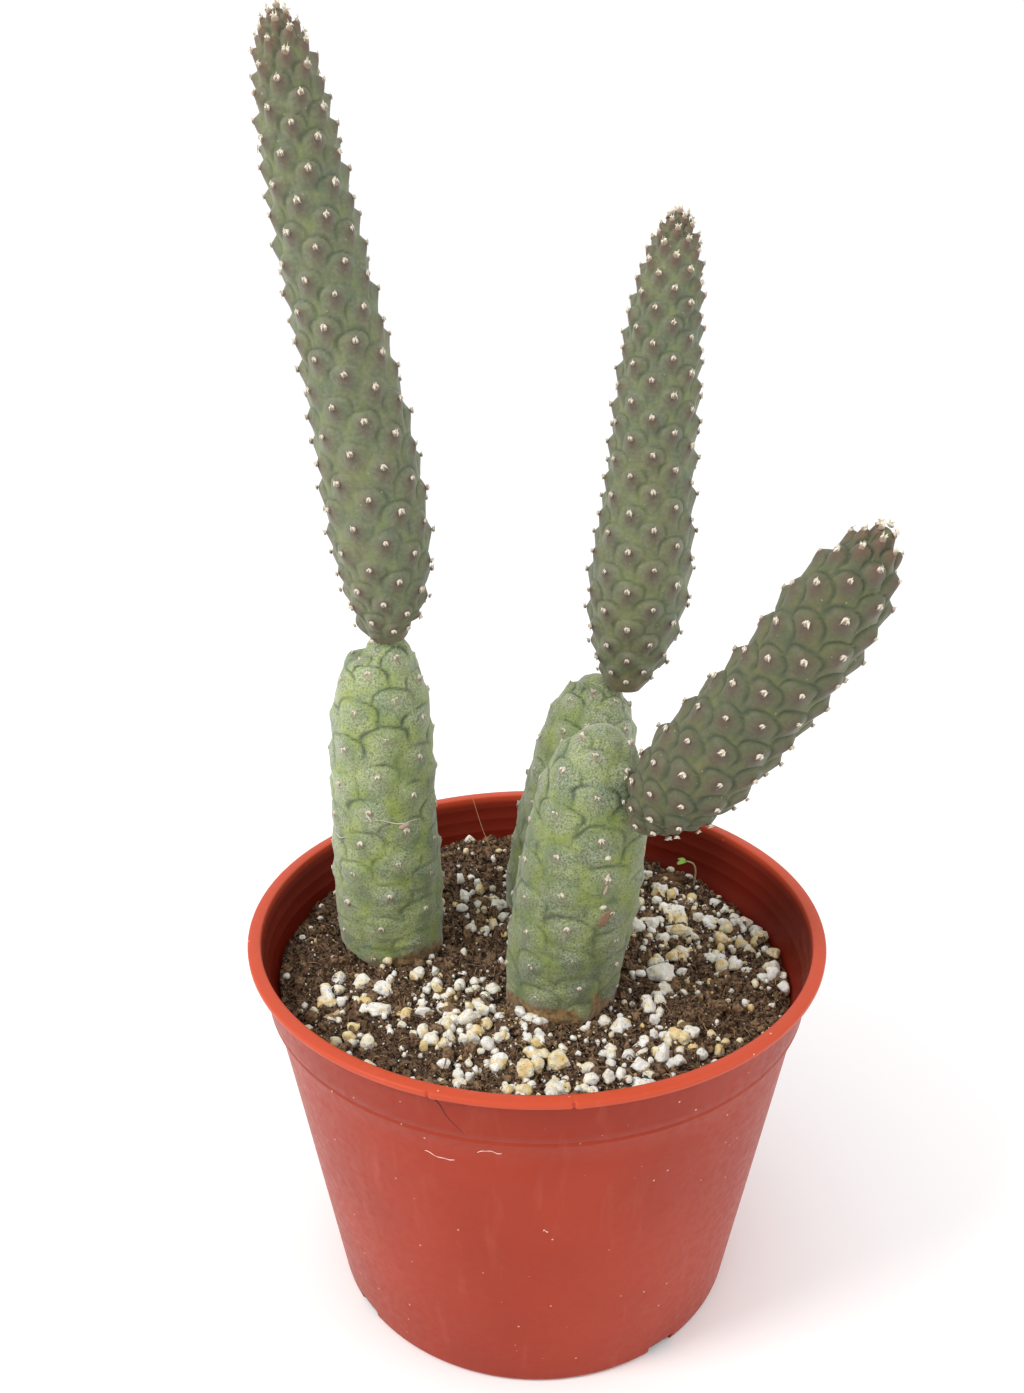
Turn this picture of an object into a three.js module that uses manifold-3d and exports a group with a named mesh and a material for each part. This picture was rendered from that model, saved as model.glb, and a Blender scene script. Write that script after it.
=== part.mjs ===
// A pine cone cactus growing in a six-inch plastic nursery pot.
// Millimetres, +Z up. The pot's axis is Z, its underside is Z = 0, and -Y is the front.
import * as THREE from "three";
import { mergeVertices } from "three/addons/utils/BufferGeometryUtils.js";
import Module from "manifold-3d";

const wasm = await Module();
wasm.setup();

// Clear space left between pieces that touch.
const GAP = 0.3;

// Pot
const POT_SIDES = 64;
const RIM_RADIUS = 76;
const RIM_INNER_RADIUS = 72.6;
const RIM_HEIGHT = 105.3;
const RIM_THICKNESS = 1.7;
const COLLAR_TOP_RADIUS = 73.8;
const COLLAR_FOOT_RADIUS = 71.7;
const COLLAR_FOOT_HEIGHT = 90;
const COLLAR_STEP = 0.8;
const BODY_TOP_RADIUS = 70.4;
const BASE_RADIUS = 56.2;
const BASE_CORNER = 1.6;
const WALL = 1.4;
const FLOOR = 1.8;
const DRAIN_COUNT = 4;
const DRAIN_FIRST_ANGLE = -53;
const DRAIN_WIDTH = 8;
const DRAIN_HEIGHT = 2.6;
const DRAIN_DEPTH = 7;

// Potting mix
const MIX_SIDES = 48;
const MIX_RINGS = 8;
const MIX_LEVEL = 88.8;
const MIX_SLOPE_X = -0.035;
const MIX_SLOPE_Y = 0.04;
const MIX_WAVE = 0.8;
const MIX_WAVE_TURNS = 0.1;

// Plant: each segment has an axis of points from its foot to its tip, and a girth list of
// [fraction of the length, radius] pairs.
const STEM_SIDES = 20;
const STEM_RINGS = 16;
const SEGMENTS = {
  left_lower_segment: {
    axis: [[-39.9, 10, 74], [-40.6, 10, 108], [-41, 10, 140], [-40.5, 10, 164], [-38.4, 10, 179.9]],
    girth: [
      [0, 11.5], [0.06, 13.4], [0.13, 14.1], [0.27, 14.8], [0.45, 14.4], [0.66, 13.9],
      [0.79, 13.2], [0.86, 12.4], [0.92, 10.6], [0.97, 7.6], [1, 5],
    ],
    age: "old",
  },
  left_upper_segment: {
    axis: [[-38.4, 10, 180.2], [-38.5, 10, 198], [-41.6, 9.2, 228], [-50.8, 7.4, 280], [-56.6, 6, 322.3]],
    girth: [
      [0, 4.8], [0.03, 8], [0.1, 11], [0.18, 12.7], [0.27, 12.8], [0.38, 12], [0.54, 10.6],
      [0.72, 9.8], [0.86, 8.3], [0.94, 6.4], [0.98, 4.2], [1, 1.2],
    ],
    age: "young",
  },
  back_lower_segment: {
    axis: [[4.5, 31, 74], [7.2, 31, 104], [12.6, 31, 134], [16.6, 31, 162.5]],
    girth: [
      [0, 12], [0.08, 14.2], [0.2, 15.3], [0.4, 15.4], [0.6, 15.1], [0.75, 14.2], [0.86, 12.1],
      [0.93, 9.3], [0.98, 5.4], [1, 2],
    ],
    age: "old",
  },
  back_upper_segment: {
    axis: [[23, 28, 159.8], [25.6, 29.2, 180], [28.2, 31, 212], [30, 32.6, 250], [33.4, 34, 281.4]],
    girth: [
      [0, 4.1], [0.04, 7.6], [0.1, 10.8], [0.18, 13.2], [0.26, 13.8], [0.36, 12.9], [0.45, 11.7],
      [0.62, 11], [0.78, 9.5], [0.86, 8.2], [0.94, 6], [0.98, 3.6], [1, 1],
    ],
    age: "young",
  },
  front_lower_segment: {
    axis: [[5.4, -10, 74], [7.4, -10, 98], [12, -10, 130], [16.4, -10, 165.3]],
    girth: [
      [0, 12.5], [0.08, 14.2], [0.2, 15.1], [0.35, 15.7], [0.5, 15.9], [0.65, 15.6], [0.76, 14.8],
      [0.84, 13.5], [0.91, 11], [0.97, 6.8], [1, 2],
    ],
    age: "old",
  },
  front_upper_segment: {
    axis: [[22.8, -20.5, 145.4], [31.3, -24.4, 154.9], [43, -28.3, 170.4], [57.3, -34.2, 193.4],
      [69.6, -43.5, 223.9]],
    girth: [
      [0, 3.8], [0.06, 8], [0.14, 11.2], [0.25, 12.9], [0.35, 12.6], [0.54, 11.6], [0.74, 11],
      [0.83, 10.1], [0.9, 8], [0.96, 5.1], [1, 1.4],
    ],
    age: "young",
  },
};
// Each young segment sprouts from an older one, and its foot is fitted against it.
const SPROUTED_FROM = {
  left_upper_segment: "left_lower_segment",
  back_upper_segment: "back_lower_segment",
  front_upper_segment: "front_lower_segment",
};

// Loose grains: [x, y, length, width, height, turn in degrees]
const PERLITE = [
  [-40, -15, 5.6, 4.8, 4.4, 20],
  [-46, -12, 4.4, 4, 3.8, 70],
  [-40, -24, 7, 4.8, 4, 15],
  [-52, -11, 4.6, 3.6, 3, 100],
  [-9, -41, 4.6, 4.4, 4, 40],
  [-15, -20, 4.6, 3.6, 3.2, 30],
  [-22, -26, 5.2, 3.8, 3.2, 60],
  [5, -50, 5, 4.6, 4.2, 10],
  [26, -34, 4.8, 3.6, 3, 20],
  [26, -40, 4.6, 3.6, 3, 160],
  [26, -48, 5.8, 4.2, 3.4, 35],
  [17, -54, 5.2, 3.8, 3.2, 140],
  [29, -17, 3.6, 3.2, 5.4, 80],
  [40, 26, 7.8, 5.2, 4.6, 160],
  [49, 22, 5.2, 5, 4.4, 50],
  [33, 19, 6.2, 4.8, 4.4, 35],
  [34, -2, 8.4, 6, 4.8, 25],
  [34, -10, 5.4, 4.6, 4, 0],
  [63, 20, 4.4, 3.6, 3.2, 110],
];
const PUMICE = [
  [-54, -20, 4.6, 4, 3.4, 10],
  [-46, -30, 3.8, 3.4, 3, 60],
  [-16, -55, 4, 3.6, 3.4, 0],
  [-3, -44, 5.4, 4.6, 4.4, 45],
  [6, -40, 6, 5, 5, 80],
  [35, -29, 4.6, 4, 3.6, 20],
  [41, 17, 7.6, 4, 3.8, 5],
  [52, 14, 5.6, 4.2, 4.4, 80],
  [40, 8, 5, 3.8, 3.2, 170],
  [36, 35, 4.8, 4.2, 4, 40],
  [66, 8, 4, 3.6, 3.4, 90],
];
const GRAIN_ROUGHNESS = 0.12;

// Bark chips: [x, y, turn in degrees, length, width, thickness]
const BARK = [
  [62, -7, -35, 8, 4.4, 1.4],
  [40, 44, -15, 10, 5, 2.6],
  [36, -44, -12, 8.5, 4.4, 1.6],
];

const TWIG_AXIS = [[-56, -29, 0], [-52, -25.4, 0.5], [-47.5, -21.6, 0.2]];
const TWIG_RADIUS = 1;
const SEEDLING_AXIS = [[47, 42, 0], [47.6, 42.6, 5], [46.4, 42.8, 8.6], [43.8, 42.4, 9.4]];
const SEEDLING_RADIUS = 0.35;
const SEED_LEAF = [2.6, 1.8, 0.7];

const LOOKS = {
  pot_plastic: { color: 0xb5432f, roughness: 0.42, metalness: 0 },
  peat: { color: 0x3a271b, roughness: 0.95, metalness: 0 },
  old_stem: { color: 0x7c9466, roughness: 0.7, metalness: 0 },
  young_stem: { color: 0x5e6f55, roughness: 0.62, metalness: 0 },
  perlite: { color: 0xf1eee6, roughness: 0.9, metalness: 0 },
  pumice: { color: 0xe2c98a, roughness: 0.9, metalness: 0 },
  bark: { color: 0x5a3a22, roughness: 0.9, metalness: 0 },
  twig: { color: 0xa98a62, roughness: 0.85, metalness: 0 },
  seedling: { color: 0x6fa03a, roughness: 0.6, metalness: 0 },
};

const root = new THREE.Group();

function addNode(name, look, geometry) {
  const mesh = new THREE.Mesh(geometry, new THREE.MeshStandardMaterial(LOOKS[look]));
  mesh.name = name;
  root.add(mesh);
}

// Solids for joining and cutting

function toSolid(geometry) {
  const bare = geometry.clone();
  bare.deleteAttribute("normal");
  bare.deleteAttribute("uv");
  const merged = mergeVertices(bare, 1e-4);
  return new wasm.Manifold(new wasm.Mesh({
    numProp: 3,
    vertProperties: merged.attributes.position.array,
    triVerts: new Uint32Array(merged.index.array),
  }));
}

function toGeometry(solid) {
  const mesh = solid.getMesh();
  const geometry = new THREE.BufferGeometry();
  geometry.setAttribute("position", new THREE.BufferAttribute(mesh.vertProperties, 3));
  geometry.setIndex(new THREE.BufferAttribute(mesh.triVerts, 1));
  geometry.computeVertexNormals();
  return geometry;
}

// A closed skin over rings that all have the same number of points, capped at both ends.
function skin(rings) {
  const sides = rings[0].length;
  const middle = (ring) => ring
    .reduce((sum, point) => sum.add(point), new THREE.Vector3())
    .divideScalar(sides);
  const points = [...rings.flat(), middle(rings[0]), middle(rings.at(-1))];
  const firstCentre = points.length - 2;
  const lastCentre = points.length - 1;
  const lastRing = (rings.length - 1) * sides;
  const faces = [];
  for (let side = 0; side < sides; side += 1) {
    const next = (side + 1) % sides;
    faces.push(firstCentre, next, side);
    faces.push(lastCentre, lastRing + side, lastRing + next);
    for (let ring = 0; ring < rings.length - 1; ring += 1) {
      const low = ring * sides;
      const high = low + sides;
      faces.push(low + side, low + next, high + next);
      faces.push(low + side, high + next, high + side);
    }
  }
  const geometry = new THREE.BufferGeometry().setFromPoints(points);
  geometry.setIndex(faces);
  geometry.computeVertexNormals();
  return geometry;
}

function circle(radius, height, sides) {
  return Array.from({ length: sides }, (_, side) => {
    const turn = (2 * Math.PI * side) / sides;
    return new THREE.Vector3(radius * Math.cos(turn), radius * Math.sin(turn), height);
  });
}

function smoothAxis(points) {
  return new THREE.CatmullRomCurve3(points.map((point) => new THREE.Vector3(...point)));
}

// A ring of points square to an axis, moved beyond the axis point by overshoot.
function ringOnAxis(axis, fraction, radius, sides, overshoot = 0) {
  const tangent = axis.getTangentAt(fraction);
  const across = new THREE.Vector3(0, 1, 0).cross(tangent).normalize();
  const away = tangent.clone().cross(across).normalize();
  const centre = axis.getPointAt(fraction).addScaledVector(tangent, overshoot);
  return circle(radius, 0, sides).map((point) => centre.clone()
    .addScaledVector(across, point.x)
    .addScaledVector(away, point.y));
}

// Rings of a round rod along an axis, with radiusAt(fraction) giving its girth.
function rodRings(axisPoints, radiusAt, sides, steps) {
  const axis = smoothAxis(axisPoints);
  return Array.from({ length: steps + 1 }, (_, step) => {
    const fraction = step / steps;
    return ringOnAxis(axis, fraction, radiusAt(fraction), sides);
  });
}

// Pot

function potOutline() {
  const cornerArc = [0, 1, 2, 3].map((step) => {
    const turn = (step / 3) * (Math.PI / 2);
    return [
      BASE_RADIUS - BASE_CORNER * (1 - Math.sin(turn)),
      BASE_CORNER * (1 - Math.cos(turn)),
    ];
  });
  const outside = [
    [0, 0],
    ...cornerArc,
    [BODY_TOP_RADIUS, COLLAR_FOOT_HEIGHT - COLLAR_STEP],
    [COLLAR_FOOT_RADIUS, COLLAR_FOOT_HEIGHT],
    [COLLAR_TOP_RADIUS, RIM_HEIGHT - RIM_THICKNESS],
    [RIM_RADIUS, RIM_HEIGHT - RIM_THICKNESS],
    [RIM_RADIUS, RIM_HEIGHT],
  ];
  const inside = [
    [RIM_INNER_RADIUS, RIM_HEIGHT],
    [COLLAR_FOOT_RADIUS - WALL, COLLAR_FOOT_HEIGHT],
    [BODY_TOP_RADIUS - WALL, COLLAR_FOOT_HEIGHT - COLLAR_STEP],
    [BASE_RADIUS - WALL, FLOOR],
    [0, FLOOR],
  ];
  return [...outside, ...inside].map(([radius, height]) => new THREE.Vector2(radius, height));
}

function drainCutter(angle) {
  const cutter = new THREE.BoxGeometry(DRAIN_DEPTH * 2, DRAIN_WIDTH, DRAIN_HEIGHT * 2);
  cutter.translate(BASE_RADIUS, 0, 0);
  cutter.rotateZ(THREE.MathUtils.degToRad(angle));
  return toSolid(cutter);
}

function makePot() {
  const shell = new THREE.LatheGeometry(potOutline(), POT_SIDES).rotateX(Math.PI / 2);
  let pot = toSolid(shell);
  for (let drain = 0; drain < DRAIN_COUNT; drain += 1) {
    pot = pot.subtract(drainCutter(DRAIN_FIRST_ANGLE + (drain * 360) / DRAIN_COUNT));
  }
  addNode("pot", "pot_plastic", toGeometry(pot));
}

// Plant

// Smooth value at a fraction of the length, through [fraction, value] pairs.
function along(pairs, fraction) {
  let last = 1;
  while (last < pairs.length - 1 && pairs[last][0] < fraction) {
    last += 1;
  }
  const [start, low] = pairs[last - 1];
  const [end, high] = pairs[last];
  const slopeAt = (index) => {
    const before = pairs[Math.max(index - 1, 0)];
    const after = pairs[Math.min(index + 1, pairs.length - 1)];
    return (after[1] - before[1]) / (after[0] - before[0]);
  };
  const span = end - start;
  const t = (fraction - start) / span;
  const ease = t * t * (3 - 2 * t);
  const rise = t * (1 - t) * (1 - t) * span * slopeAt(last - 1);
  const fall = t * t * (t - 1) * span * slopeAt(last);
  return low + (high - low) * ease + rise + fall;
}

// More rings stand close to the two ends, where a segment rounds off. The margin grows it all round.
function segmentSolid({ axis, girth }, margin) {
  const curve = smoothAxis(axis);
  const rings = Array.from({ length: STEM_RINGS + 1 }, (_, ring) => {
    const fraction = (1 - Math.cos((Math.PI * ring) / STEM_RINGS)) / 2;
    const atEnd = fraction === 0 || fraction === 1;
    const overshoot = atEnd ? margin * Math.sign(fraction - 0.5) : 0;
    return ringOnAxis(curve, fraction, along(girth, fraction) + margin, STEM_SIDES, overshoot);
  });
  return toSolid(skin(rings));
}

function makePlant() {
  for (const [name, segment] of Object.entries(SEGMENTS)) {
    let solid = segmentSolid(segment, 0);
    const parent = SEGMENTS[SPROUTED_FROM[name]];
    if (parent) {
      solid = solid.subtract(segmentSolid(parent, GAP));
    }
    addNode(name, segment.age === "old" ? "old_stem" : "young_stem", toGeometry(solid));
  }
}

// Potting mix

function mixTop(x, y) {
  const wave = Math.sin(MIX_WAVE_TURNS * x + 1) * Math.cos(MIX_WAVE_TURNS * y);
  return MIX_LEVEL + MIX_SLOPE_X * x + MIX_SLOPE_Y * y + MIX_WAVE * wave;
}

function potInnerRadius(height) {
  const rise = (height - FLOOR) / (COLLAR_FOOT_HEIGHT - COLLAR_STEP - FLOOR);
  return BASE_RADIUS - WALL + (BODY_TOP_RADIUS - BASE_RADIUS) * rise;
}

// How far the mix reaches towards the pot wall in a direction, at the height of its surface there.
function mixEdge(direction) {
  const reach = potInnerRadius(MIX_LEVEL);
  const level = mixTop(reach * direction.x, reach * direction.y);
  return potInnerRadius(level) - 2 * GAP;
}

function makeMix() {
  const foot = FLOOR + GAP;
  const rings = [circle(potInnerRadius(foot) - 2 * GAP, foot, MIX_SIDES)];
  for (let ring = MIX_RINGS; ring > 0; ring -= 1) {
    const surface = circle(1, 0, MIX_SIDES);
    surface.forEach((point) => {
      point.multiplyScalar((mixEdge(point) * ring) / MIX_RINGS);
      point.setZ(mixTop(point.x, point.y));
    });
    rings.push(surface);
  }
  let mix = toSolid(skin(rings));
  for (const segment of Object.values(SEGMENTS)) {
    mix = mix.subtract(segmentSolid(segment, GAP));
  }
  addNode("potting_mix", "peat", toGeometry(mix));
}

// Loose things on the mix

// Lowers or lifts a shape until it just clears the mix.
function restOnMix(geometry) {
  const points = geometry.getAttribute("position");
  let lift = -Infinity;
  for (let index = 0; index < points.count; index += 1) {
    const clear = mixTop(points.getX(index), points.getY(index)) + GAP - points.getZ(index);
    lift = Math.max(lift, clear);
  }
  return geometry.translate(0, 0, lift);
}

// A ball of diameter 1 with shared corners.
function ball() {
  const shape = new THREE.IcosahedronGeometry(0.5, 1);
  return mergeVertices(shape.deleteAttribute("normal").deleteAttribute("uv"), 1e-4);
}

function grain([x, y, length, width, height, turn], seed) {
  const shape = ball();
  const points = shape.getAttribute("position");
  for (let index = 0; index < points.count; index += 1) {
    const swell = 1 + GRAIN_ROUGHNESS * Math.sin(7 * index + 3 * seed);
    points.setXYZ(index, points.getX(index) * swell, points.getY(index) * swell, points.getZ(index));
  }
  shape.scale(length, width, height);
  shape.rotateZ(THREE.MathUtils.degToRad(turn));
  shape.translate(x, y, 0);
  return restOnMix(shape);
}

function makeGrains(kind, places) {
  places.forEach((place, index) => {
    const number = String(index + 1).padStart(2, "0");
    addNode(`${kind}_${number}`, kind, grain(place, index));
  });
}

function barkChip([x, y, turn, length, width, thickness]) {
  const outline = new THREE.Shape([
    new THREE.Vector2(-length / 2, -width * 0.2),
    new THREE.Vector2(-length * 0.2, -width / 2),
    new THREE.Vector2(length * 0.3, -width * 0.4),
    new THREE.Vector2(length / 2, 0),
    new THREE.Vector2(length * 0.25, width / 2),
    new THREE.Vector2(-length * 0.35, width * 0.4),
  ]);
  const chip = new THREE.ExtrudeGeometry(outline, { depth: thickness, bevelEnabled: false });
  chip.rotateZ(THREE.MathUtils.degToRad(turn));
  chip.translate(x, y, 0);
  return restOnMix(chip);
}

function makeBark() {
  BARK.forEach((place, index) => addNode(`bark_chip_${index + 1}`, "bark", barkChip(place)));
}

function makeTwig() {
  const taper = (fraction) => TWIG_RADIUS * (1 - 0.25 * fraction);
  addNode("twig", "twig", restOnMix(skin(rodRings(TWIG_AXIS, taper, 7, 4))));
}

function seedLeaf(sideways) {
  const leaf = ball();
  leaf.scale(...SEED_LEAF);
  leaf.translate(-SEED_LEAF[0] * 0.42, 0, 0);
  leaf.rotateZ(sideways);
  leaf.translate(...SEEDLING_AXIS.at(-1));
  return toSolid(leaf);
}

function makeSeedling() {
  let seedling = toSolid(skin(rodRings(SEEDLING_AXIS, () => SEEDLING_RADIUS, 6, 8)));
  for (const sideways of [-0.7, 0.7]) {
    seedling = seedling.add(seedLeaf(sideways));
  }
  addNode("seedling", "seedling", restOnMix(toGeometry(seedling)));
}

makePot();
makeMix();
makePlant();
makeGrains("perlite", PERLITE);
makeGrains("pumice", PUMICE);
makeBark();
makeTwig();
makeSeedling();

export default root;
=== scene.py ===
import itertools
import math

import bmesh
import bpy
import numpy as np
from mathutils import Matrix, Vector


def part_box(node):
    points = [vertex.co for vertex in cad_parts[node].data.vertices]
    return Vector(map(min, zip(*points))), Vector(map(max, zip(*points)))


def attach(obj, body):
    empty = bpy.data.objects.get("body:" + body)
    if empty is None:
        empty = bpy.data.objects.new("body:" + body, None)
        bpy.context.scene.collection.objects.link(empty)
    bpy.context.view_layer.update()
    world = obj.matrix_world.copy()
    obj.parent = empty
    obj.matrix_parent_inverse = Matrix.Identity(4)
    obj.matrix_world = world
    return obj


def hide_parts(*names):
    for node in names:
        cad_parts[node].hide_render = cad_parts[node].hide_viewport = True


# Looks for the potted pine cone cactus. Lengths in this script are millimetres in the packed
# row's frame, and become metres where a mesh is made.
MM = 0.001
TAU = 2 * math.pi

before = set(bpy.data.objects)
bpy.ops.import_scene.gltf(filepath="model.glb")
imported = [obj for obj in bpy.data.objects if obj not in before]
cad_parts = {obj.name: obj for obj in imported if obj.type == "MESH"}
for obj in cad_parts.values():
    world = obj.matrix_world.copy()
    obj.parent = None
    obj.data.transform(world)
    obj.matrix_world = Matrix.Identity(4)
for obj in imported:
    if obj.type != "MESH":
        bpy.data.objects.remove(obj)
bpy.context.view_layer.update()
chance = np.random.default_rng(23)


def box_mm(node):
    """Lowest and highest corner of a CAD node, in millimetres."""
    low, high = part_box(node)
    return np.array(low) / MM, np.array(high) / MM


# ---------------------------------------------------------------- numbers and noise


def smoothstep(low, high, value):
    part = np.clip((value - low) / (high - low), 0, 1)
    return part * part * (3 - 2 * part)


def scramble(cells, seed):
    """A repeatable random number from -1 to 1 for each whole-numbered cell."""
    mixed = cells[..., 0] * 73856093 ^ cells[..., 1] * 19349663 ^ cells[..., 2] * 83492791
    mixed = (mixed + seed * 26544357) & 0x7FFFFFFF
    mixed = ((mixed ^ (mixed >> 13)) * 1274126177) & 0x7FFFFFFFFFFF
    mixed = (mixed ^ (mixed >> 16)) & 0xFFFFFF
    return mixed / 0x7FFFFF - 1


def lumps(points, size, seed):
    """Smooth random values from -1 to 1 with features about size millimetres across."""
    place = np.asarray(points) / size
    cell = np.floor(place).astype(np.int64)
    part = place - cell
    ease = part * part * (3 - 2 * part)
    total = np.zeros(place.shape[:-1])
    for corner in itertools.product((0, 1), repeat=3):
        weight = np.prod(np.where(corner, ease, 1 - ease), axis=-1)
        total += weight * scramble(cell + corner, seed)
    return total


def flat_lumps(x, y, size, seed):
    """The same on a level plane."""
    return lumps(np.stack([x, y, np.zeros_like(x)], axis=-1), size, seed)


# ---------------------------------------------------------------- meshes


def add_piece(name, points, faces, look, replaces=(), marks=None, uv=None):
    """A smooth mesh piece that rides on the one body. marks are named numbers per point."""
    mesh = bpy.data.meshes.new(name)
    mesh.from_pydata((np.asarray(points) * MM).tolist(), [], faces)
    mesh.shade_smooth()
    for mark, values in (marks or {}).items():
        layer = mesh.attributes.new(mark, "FLOAT", "POINT")
        layer.data.foreach_set("value", np.asarray(values, dtype=np.float32))
    if uv is not None:
        layer = mesh.uv_layers.new(name="OFBake")
        layer.data.foreach_set("uv", np.asarray(uv, dtype=np.float32).ravel())
    mesh.materials.append(look)
    piece = bpy.data.objects.new(name, mesh)
    bpy.context.scene.collection.objects.link(piece)
    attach(piece, "root")
    if replaces:
        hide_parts(*replaces)
    return piece


def grid_faces(rows, columns, closed=True):
    """Quads between rows of points, each row going round."""
    row = np.arange(rows - 1)[:, None]
    column = np.arange(columns if closed else columns - 1)[None, :]
    beside = (column + 1) % columns
    corners = [
        row * columns + column,
        row * columns + beside,
        (row + 1) * columns + beside,
        (row + 1) * columns + column,
    ]
    return np.stack(corners, axis=-1).reshape(-1, 4)


class Heap:
    """Collects many small shapes into one mesh."""

    def __init__(self):
        self.points = []
        self.faces = []
        self.marks = {}
        self.count = 0

    def add(self, points, faces, **marks):
        points = np.asarray(points)
        self.faces.extend([[int(corner) + self.count for corner in face] for face in faces])
        self.points.append(points)
        self.count += len(points)
        for mark, value in marks.items():
            values = np.broadcast_to(np.asarray(value, dtype=float), (len(points),))
            self.marks.setdefault(mark, []).append(values)

    def make(self, name, look, slot, replaces=()):
        marks = {mark: np.concatenate(values) for mark, values in self.marks.items()}
        return add_piece(name, np.concatenate(self.points), self.faces, look, replaces, marks)


def ball(level):
    """Points and triangles of an icosphere of radius 1."""
    shape = bmesh.new()
    bmesh.ops.create_icosphere(shape, subdivisions=level, radius=1)
    points = np.array([vertex.co[:] for vertex in shape.verts])
    faces = np.array([[vertex.index for vertex in face.verts] for face in shape.faces])
    shape.free()
    return points, faces


BALLS = {level: ball(level) for level in (1, 2, 3, 4)}


def tube(path, radii, sides):
    """A closed tube along a path, with a radius for each of its points."""
    path = np.asarray(path, dtype=float)
    radii = np.broadcast_to(radii, (len(path),))
    ahead = np.gradient(path, axis=0)
    ahead /= np.linalg.norm(ahead, axis=1)[:, None] + 1e-9
    guide = np.array([0.31, 0.52, 0.79])
    across = np.cross(ahead, guide)
    across /= np.linalg.norm(across, axis=1)[:, None] + 1e-9
    away = np.cross(ahead, across)
    turn = np.arange(sides) / sides * TAU
    ring = np.cos(turn)[None, :, None] * across[:, None] + np.sin(turn)[None, :, None] * away[:, None]
    points = path[:, None] + ring * radii[:, None, None]
    points = np.concatenate([points.reshape(-1, 3), path[:1], path[-1:]])
    faces = grid_faces(len(path), sides).tolist()
    last = (len(path) - 1) * sides
    for side in range(sides):
        beside = (side + 1) % sides
        faces.append([len(points) - 2, beside, side])
        faces.append([len(points) - 1, last + side, last + beside])
    return points, faces


# ---------------------------------------------------------------- materials


class Look:
    """Builds one procedural material."""

    def __init__(self, name, roughness=0.6, **settings):
        self.material = bpy.data.materials.new(name)
        self.material.use_nodes = True
        self.tree = self.material.node_tree
        self.shader = self.tree.nodes["Principled BSDF"]
        self.place = self.tree.nodes.new("ShaderNodeTexCoord").outputs["Object"]
        self.shader.inputs["Roughness"].default_value = roughness
        for setting, value in settings.items():
            self.shader.inputs[setting.replace("_", " ")].default_value = value

    def put(self, socket, value):
        if isinstance(value, bpy.types.NodeSocket):
            self.tree.links.new(value, socket)
        elif isinstance(value, tuple) and len(value) == 3 and socket.type == "RGBA":
            socket.default_value = (*value, 1)
        else:
            socket.default_value = value

    def noise(self, size, detail=3.0, stretch=(1, 1, 1), rough=0.55):
        """Cloudy values round 0.5 with features about size millimetres across."""
        scaling = self.tree.nodes.new("ShaderNodeMapping")
        self.put(scaling.inputs["Vector"], self.place)
        scaling.inputs["Scale"].default_value = [axis / (size * MM) for axis in stretch]
        texture = self.tree.nodes.new("ShaderNodeTexNoise")
        self.put(texture.inputs["Vector"], scaling.outputs[0])
        texture.inputs["Scale"].default_value = 1
        texture.inputs["Detail"].default_value = detail
        texture.inputs["Roughness"].default_value = rough
        return texture.outputs["Fac"]

    def cells(self, size):
        """Distance from the middle of random cells about size millimetres across."""
        texture = self.tree.nodes.new("ShaderNodeTexVoronoi")
        self.put(texture.inputs["Vector"], self.place)
        texture.inputs["Scale"].default_value = 1 / (size * MM)
        return texture.outputs["Distance"]

    def mark(self, name):
        node = self.tree.nodes.new("ShaderNodeAttribute")
        node.attribute_name = name
        return node.outputs["Fac"]

    def height(self):
        """Height above the pot's underside, in metres."""
        node = self.tree.nodes.new("ShaderNodeSeparateXYZ")
        self.put(node.inputs[0], self.place)
        return node.outputs["Z"]

    def span(self, value, low, high, start=0.0, end=1.0):
        """value from low to high turned into start to end, held outside them."""
        node = self.tree.nodes.new("ShaderNodeMapRange")
        self.put(node.inputs["Value"], value)
        for socket, number in zip(("From Min", "From Max", "To Min", "To Max"), (low, high, start, end)):
            self.put(node.inputs[socket], number)
        return node.outputs["Result"]

    def sum(self, kind, first, second):
        node = self.tree.nodes.new("ShaderNodeMath")
        node.operation = kind
        self.put(node.inputs[0], first)
        self.put(node.inputs[1], second)
        return node.outputs[0]

    def mix(self, part, first, second, blend="MIX"):
        node = self.tree.nodes.new("ShaderNodeMix")
        node.data_type = "RGBA"
        node.blend_type = blend
        self.put(node.inputs[0], part)
        self.put(node.inputs[6], first)
        self.put(node.inputs[7], second)
        return node.outputs[2]

    def finish(self, colour, roughness=None, bumps=()):
        """bumps are (height value, millimetres) pairs."""
        self.put(self.shader.inputs["Base Color"], colour)
        if roughness is not None:
            self.put(self.shader.inputs["Roughness"], roughness)
        below = None
        for value, depth in bumps:
            node = self.tree.nodes.new("ShaderNodeBump")
            node.inputs["Distance"].default_value = depth * MM
            self.put(node.inputs["Height"], value)
            if below is not None:
                self.put(node.inputs["Normal"], below)
            below = node.outputs[0]
        if below is not None:
            self.put(self.shader.inputs["Normal"], below)
        return self.material


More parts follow.
